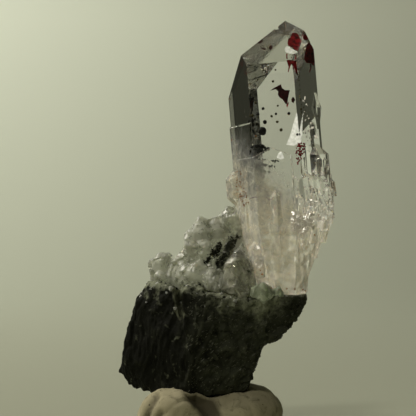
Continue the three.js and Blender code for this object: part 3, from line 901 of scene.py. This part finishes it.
# Further points of a piece: tip and axis, half width and length in millimetres
FURTHER_POINTS = {
    "quartz_crust": [
        ((-3.2, 1.2, 36.9), (-0.25, 0, 0.97), 1.9, 8.0),
        ((-1.6, 1.4, 39.3), (-0.12, 0, 0.99), 2.3, 8.0),
        ((1.2, 1.4, 39.3), (0.05, 0, 1.0), 2.3, 8.0),
        ((3.3, 1.8, 41.2), (0, 0, 1.0), 1.7, 8.0),
        ((4.8, 1.8, 41.2), (0, 0, 1.0), 1.7, 8.0),
        ((-8.9, 4.0, 32.9), (-0.1, 0, 1.0), 1.6, 6.0),
        ((-7.8, 4.0, 33.0), (0, 0, 1.0), 1.5, 6.0),
        ((-5.0, 0.6, 32.6), (-0.2, -0.3, 0.9), 1.8, 7.0),
        ((-2.6, -3.4, 31.4), (-0.2, -0.4, 0.9), 1.8, 6.0),
        ((1.6, -5.4, 30.2), (0, -0.4, 0.9), 1.7, 6.0),
        ((-1.0, 6.6, 35.0), (-0.1, 0.4, 0.9), 1.9, 7.0),
        ((3.4, 6.2, 36.4), (0.1, 0.4, 0.9), 1.9, 7.0),
        ((-4.6, 6.6, 32.6), (-0.2, 0.4, 0.9), 1.7, 6.0),
    ],
    "front_point": [((3.5, -6.6, 30.2), (-0.25, -0.25, 0.93), 1.4, 4.5)],
    "green_point": [((12.0, -7.6, 27.4), (0.2, -0.5, 0.84), 0.9, 3.2)],
}


milky_done = {}
for node_name, piece_name, slot_name, form, facet, finish in MILKY_PIECES:
    passes, swelling = form
    size, tilt = facet
    pale, deep, clear_share, rough = finish
    piece = copy_of_node(node_name, piece_name)
    grown = [
        grown_copy(Vector(tip) * MM, Vector(axis).normalized(), side * MM, length * MM)
        for tip, axis, side, length in FURTHER_POINTS[node_name]
    ]
    combine(piece, join_pieces(grown), "UNION")
    apply_modifier(piece, "REMESH", mode="VOXEL", voxel_size=MILKY_GRAIN)
    apply_modifier(piece, "SMOOTH", factor=0.5, iterations=passes)

    def milky_relief(place, normal):
        grown_faces = faceted(place, size * MM, tilt) + faceted(place, 0.4 * size * MM, 0.5 * tilt)
        return swelling * MM + grown_faces + 0.03 * MM * noise.noise(place / (0.6 * MM))

    raise_surface(piece, milky_relief)
    shade_faces(piece, 24)
    milk, tree, shader = new_material(f"cloudy quartz of the {node_name.replace('_', ' ')}")
    place = add_node(tree, "TexCoord").outputs["Object"]
    clouds = add_node(tree, "TexNoise", {
        "Vector": place, "Scale": per_metre(1.8), "Detail": 6.0, "Roughness": 0.65,
    })
    spread = add_node(tree, "MapRange", {"Value": clouds, "From Min": 0.32, "From Max": 0.68})
    colour = add_node(tree, "Mix", {0: spread, 6: linear(deep), 7: linear(pale)}, data_type="RGBA")
    clear = add_node(tree, "MapRange", {
        "Value": spread, "To Min": clear_share + 0.25, "To Max": clear_share - 0.2,
    })
    blur = add_node(tree, "MapRange", {"Value": spread, "To Min": 0.5 * rough, "To Max": 1.3 * rough})
    feed(tree, shader, {
        "Base Color": colour, "Transmission Weight": clear, "Roughness": blur, "IOR": QUARTZ_IOR,
        "Subsurface Weight": 1.0, "Subsurface Radius": (1.0, 1.0, 0.95), "Subsurface Scale": 1.2 * MM,
    })
    piece.data.materials.append(milk)
    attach(piece, "root")
    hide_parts(node_name)
    milky_done[node_name] = (piece, milk)


# Black lace
# Jagged black shards of chlorite that cling to the crust in a ragged streak and two patches beside it.

# Paths as x and z in millimetres, each with a half width and how many shards lie on it
LACE_PATHS = [
    ([(4.6, 35.3), (3.9, 34.4), (3.1, 33.0), (2.4, 31.8), (1.6, 30.6)], 0.9, 260),
    ([(2.0, 34.3), (1.5, 33.4), (0.9, 32.8), (0.3, 32.2)], 0.75, 130),
    ([(0.0, 31.7), (-0.5, 31.0)], 0.5, 36),
    ([(6.9, 29.7), (7.0, 29.3)], 0.2, 6),
]


def front_hit(x, z):
    """The place where the sight line through x, z first meets rock or crystal, or None."""
    towards = (Vector((x, 0, z)) * MM - EYE).normalized()
    pieces = [matrix, point] + [piece for piece, milk in milky_done.values()]
    hits = [piece.ray_cast(EYE, towards) for piece in pieces]
    met = [at for hit, at, normal, face in hits if hit]
    return min(met, key=lambda at: (at - EYE).length_squared, default=None)


def drawn_along(path):
    """A random place on a path of x and z."""
    share = chance.uniform(0, len(path) - 1.001)
    return Vector(path[int(share)]).lerp(Vector(path[int(share) + 1]), share % 1)


lace_places = []
for path, half_width, count in LACE_PATHS:
    for i in range(count):
        at = drawn_along(path)
        x = at.x + chance.triangular(-half_width, half_width)
        z = at.y + chance.triangular(-half_width, half_width)
        met = front_hit(x, z)
        if met is not None:
            size = chance.uniform(0.12, 0.38)
            lace_places.append(set_at(met, (size, size * 0.6, size * 0.3)))
lace = scattered(model_grain(0.3, 1), lace_places, "black_lace")
lace.data.materials.append(rock_material)
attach(lace, "root")


# Rubble
# A druse of small quartz points and crumbs of rock that fill the joint between the crystals and the
# shoulder of the rock.

RUBBLE_COUNT = 170
PALE_SHARE = 0.6  # how much of the rubble is quartz
SHOULDER_LOW = 23.5 * MM
DRUSE_FOOT = -2.0  # depth of a small point's foot, its sides being 1 from its axis

pale_places = []
dark_places = []
dust = matrix.data.attributes["dust"].data
shoulder = [
    p for p in matrix.data.polygons
    if p.normal.z - p.normal.y > 0.4 and p.center.z > SHOULDER_LOW and dust[p.vertices[0]].value > 0.25
]
for polygon in chance.sample(shoulder, RUBBLE_COUNT):
    size = chance.uniform(0.15, 0.42)
    if chance.random() < PALE_SHARE:
        lean = Vector([chance.uniform(-0.6, 0.6) for i in range(3)])
        turned = spin_towards((polygon.normal + lean).normalized(), chance.uniform(0, 6))
        pale_places.append(Matrix.Translation(polygon.center) @ turned @ Matrix.Scale(size * MM, 4))
    else:
        dark_places.append(set_at(polygon.center, (size, size * 0.8, size * 0.7)))
for vertex in slim_point.data.vertices:
    vertex.co.z = max(vertex.co.z, DRUSE_FOOT) + 0.8
pale_rubble = scattered(slim_point, pale_places, "druse_of_points")
pale_rubble.data.materials.append(milky_done["quartz_crust"][1])
dark_rubble = scattered(model_grain(0.25, 1), dark_places, "rock_crumbs")
dark_rubble.data.materials.append(rock_material)
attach(pale_rubble, "root")
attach(dark_rubble, "root")


# Growth facets
# Small flat facets that finish the ribs of the root and the crust. They are clear quartz that grew in
# step with the crystal below, so they lie nearly parallel and flash together in the light.

# Outlines as x and z in millimetres, seen from the front, how many facets lie in each and how wide
FACET_AREAS = [
    ([(14.4, 40.4), (15.4, 39.4), (18.2, 40.0), (18.4, 37.0), (17.2, 36.2), (14.4, 36.6)],
     230, (0.09, 0.26)),
    ([(15.6, 46.0), (20.8, 45.4), (21.2, 37.0), (18.6, 37.6), (15.2, 40.4)], 46, (0.08, 0.24)),
    ([(7.6, 34.0), (8.6, 34.0), (9.6, 30.6), (8.4, 29.8)], 24, (0.12, 0.3)),
    ([(-4.0, 36.0), (-0.4, 36.0), (-1.6, 30.0), (-7.0, 28.6)], 14, (0.1, 0.22)),
    ([(16.2, 60.0), (17.0, 60.0), (18.8, 57.0), (19.0, 52.0), (17.0, 52.0), (16.6, 56.0)],
     26, (0.08, 0.24)),
]
FACET_FACING = Vector((-0.335, -0.865, 0.374))
FACET_SPREAD = 0.08


def model_facet():
    """An uneven five-sided facet, about 1 in radius, thick enough to stand on uneven ground."""
    bpy.ops.object.select_all(action="DESELECT")
    bpy.ops.mesh.primitive_circle_add(vertices=5, radius=1, fill_type="NGON")
    bpy.ops.object.mode_set(mode="EDIT")
    bpy.ops.mesh.select_all(action="SELECT")
    bpy.ops.transform.resize(value=(1, 0.8, 1))
    bpy.ops.mesh.extrude_region_move(TRANSFORM_OT_translate={"value": (0, 0, 0.5)})
    bpy.ops.transform.resize(value=(0.9, 0.6, 1))
    bpy.ops.transform.translate(value=(0.1, -0.15, 0))
    return close_edit()


facet_places = []
for outline, count, widths in FACET_AREAS:
    for i in range(count):
        met = front_hit(*drawn_inside(outline))
        if met is not None:
            lean = Vector([chance.uniform(-FACET_SPREAD, FACET_SPREAD) for j in range(3)])
            turned = (FACET_FACING + lean).to_track_quat("Z", "Y").to_matrix().to_4x4()
            width = chance.uniform(*widths) * MM
            spin = Matrix.Rotation(chance.gauss(0, 0.35), 4, "Z")
            shape = Matrix.Diagonal((width, width * chance.uniform(1.0, 3.0), 0.4 * width, 1))
            facet_places.append(Matrix.Translation(met) @ turned @ spin @ shape)
facets = scattered(model_facet(), facet_places, "growth_facets")

# Rock crystal of the facets: clear and glossy, with a faint cloud.
facet_values = {"Roughness": 0.06, "IOR": QUARTZ_IOR, "Transmission Weight": 0.35}
facet_material = mottled_material("glossy quartz facets", "#fffdf6", "#efe6d4", 1.5, 3.0, facet_values)
facets.data.materials.append(facet_material)
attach(facets, "root")


# Rust grains
# Orange and brown grains of rust caught on the foot of the point, on the rim of the rock and on the
# left face. They are crumbs of weathered iron oxide stuck in cracks.

# Places as x and z in millimetres with a half size
RUST_GRAINS = [
    (18.46, 35.88, 0.26), (10.9, 26.6, 0.2), (12.2, 26.3, 0.16), (13.6, 26.5, 0.22), (15.0, 26.4, 0.24),
    (16.4, 26.3, 0.3), (16.9, 26.1, 0.2), (9.3, 29.0, 0.3), (9.0, 29.6, 0.2), (4.2, 46.2, 0.2),
    (4.8, 44.4, 0.24), (5.4, 42.6, 0.2), (6.2, 41.0, 0.26), (5.8, 41.8, 0.18), (3.7, 59.7, 0.2),
    (4.0, 52.5, 0.2), (8.2, 53.2, 0.22), (11.0, 38.6, 0.12), (13.4, 36.4, 0.12),
]

# The stained seam beside the left swelling, as an outline seen from the front
RUST_SEAM = [(4.4, 47.4), (5.6, 47.0), (6.2, 44.0), (7.0, 41.6), (6.4, 40.6), (5.4, 42.0), (4.8, 44.6)]
RUST_SEAM_COUNT = 70

rust_places = []
seam = [(*drawn_inside(RUST_SEAM), chance.uniform(0.06, 0.2)) for i in range(RUST_SEAM_COUNT)]
for x, z, size in RUST_GRAINS + seam:
    met = front_hit(x, z)
    if met is not None:
        rust_places.append(set_at(met, (size, size * 0.7, size * 0.6)))
rust_grains = scattered(model_grain(0.25, 1), rust_places, "rust_grains")

# Rust: dull orange and brown.
rust_material = mottled_material("rusty iron oxide", "#4a2f14", "#a8692c", 1.0, 3.0, {"Roughness": 0.7})
rust_grains.data.materials.append(rust_material)
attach(rust_grains, "root")


# Violet marks
# Two short arcs of dusky violet on the front of the root, all that shows of the amethyst colour. They
# are zones that took up iron while the face grew.

# Paths as x and z in millimetres
VIOLET_ARCS = [
    [(7.2, 42.2), (7.8, 42.5), (8.5, 42.5)],
    [(10.0, 42.6), (10.5, 42.0), (10.9, 42.1), (11.3, 42.5)],
]
VIOLET_COUNT = 26

violet_places = []
for path in VIOLET_ARCS:
    for i in range(VIOLET_COUNT):
        at = drawn_along(path)
        met = front_hit(at.x, at.y + chance.uniform(-0.08, 0.08))
        if met is not None:
            violet_places.append(set_at(met, (chance.uniform(0.05, 0.14), 0.07, 0.05)))
violet_marks = scattered(model_grain(0.2, 1), violet_places, "violet_marks")

# Amethyst: quartz that iron colours violet, cloudy here.
violet_material = mottled_material("cloudy amethyst", "#5d4a5a", "#9a8694", 0.8, 2.0, {"Roughness": 0.4})
violet_marks.data.materials.append(violet_material)
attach(violet_marks, "root")


# Stage
# A pale sweep of card that runs from under the putty up behind the specimen.

SWEEP_HALF_WIDTH = 0.34
SWEEP_FRONT = -0.5
SWEEP_BACK = 0.55
SWEEP_TOP = 0.62
SWEEP_BEND = 0.25

bpy.ops.object.select_all(action="DESELECT")
bpy.ops.mesh.primitive_plane_add(size=1)
sweep = bpy.context.object
sweep.name = "sweep"
bpy.ops.object.mode_set(mode="EDIT")
bpy.ops.transform.resize(value=(2 * SWEEP_HALF_WIDTH, SWEEP_BACK - SWEEP_FRONT, 1))
bpy.ops.transform.translate(value=(0, (SWEEP_BACK + SWEEP_FRONT) / 2, 0))
bpy.ops.object.mode_set(mode="OBJECT")
for edge in sweep.data.edges:
    edge.select = all(sweep.data.vertices[i].co.y > 0 for i in edge.vertices)
for polygon in sweep.data.polygons:
    polygon.select = False
for vertex in sweep.data.vertices:
    vertex.select = vertex.co.y > 0
bpy.ops.object.mode_set(mode="EDIT")
bpy.ops.mesh.select_mode(type="EDGE")
bpy.ops.mesh.extrude_region_move(TRANSFORM_OT_translate={"value": (0, 0, SWEEP_TOP)})
bpy.ops.object.mode_set(mode="OBJECT")
apply_modifier(sweep, "BEVEL", width=SWEEP_BEND, segments=24, limit_method="ANGLE")
bpy.ops.object.shade_smooth()
card, tree, shader = new_material("pale matte card")
place = add_node(tree, "TexCoord").outputs["Object"]
axes = add_node(tree, "SeparateXYZ", {"Vector": place})
# Painted shade: the card is darker on the floor and pales as it rises, so the bottom of the frame is
# darker.
rise = add_node(tree, "MapRange", {"Value": axes.outputs["Z"], "From Min": 0.0, "From Max": 0.16})
colour = add_node(tree, "Mix", {0: rise, 6: linear("#b4b7a3"), 7: linear("#cdd0bb")}, data_type="RGBA")
feed(tree, shader, {"Base Color": colour, "Roughness": 0.95})
sweep.data.materials.append(card)


# Light and camera
# A soft key light from the upper left, a light on the sweep and a small one from the front.

def add_light(name, place, aim, size, power, tint):
    """A square area light of that size, power and colour, turned towards a place."""
    light = bpy.data.lights.new(name, "AREA")
    light.size = size
    light.energy = power
    light.color = linear(tint)[:3]
    lamp = bpy.data.objects.new(name, light)
    bpy.context.scene.collection.objects.link(lamp)
    lamp.location = place
    lamp.rotation_euler = (Vector(aim) - Vector(place)).to_track_quat("-Z", "Y").to_euler()


middle = Vector((0.0, 0.0, 0.04))
add_light("key", (-0.34, 0.10, 0.40), middle, 0.16, 1.35, "#fffaec")
add_light("sweep_light", (-0.30, 0.28, 0.42), (-0.14, 0.55, 0.30), 0.14, 1.45, "#ffffff")
add_light("sparkle", (-0.22, -0.26, 0.34), middle, 0.06, 0.36, "#fffaec")

world = bpy.data.worlds.new("dim studio")
bpy.context.scene.world = world
world.use_nodes = True
tree = world.node_tree
background = tree.nodes["Background"]
direction = add_node(tree, "TexCoord").outputs["Generated"]
axes = add_node(tree, "SeparateXYZ", {"Vector": direction})
front = add_node(tree, "MapRange", {
    "Value": axes.outputs["Y"], "From Min": -0.4, "From Max": 0.4, "To Min": 0.045, "To Max": 0.02,
})
left = add_node(tree, "MapRange", {
    "Value": axes.outputs["X"], "From Min": -0.9, "From Max": 0.0, "To Min": 0.06, "To Max": 0.0,
})
strength = add_node(tree, "Math", {0: front, 1: left}, operation="ADD")
feed(tree, background, {"Color": linear("#eef0ca"), "Strength": strength})

camera_data = bpy.data.cameras.new("camera")
camera_data.lens = 100
camera_data.sensor_width = 36
camera_data.clip_start = 0.01
camera = bpy.data.objects.new("camera", camera_data)
bpy.context.scene.collection.objects.link(camera)
camera.location = EYE
camera.rotation_euler = (math.radians(90), 0, 0)
bpy.context.scene.camera = camera
bpy.context.scene.view_settings.view_transform = "Standard"
# Light turns round many times inside the clear point before it leaves.
bpy.context.scene.cycles.max_bounces = 32
bpy.context.scene.cycles.glossy_bounces = 16
bpy.context.scene.cycles.transmission_bounces = 24
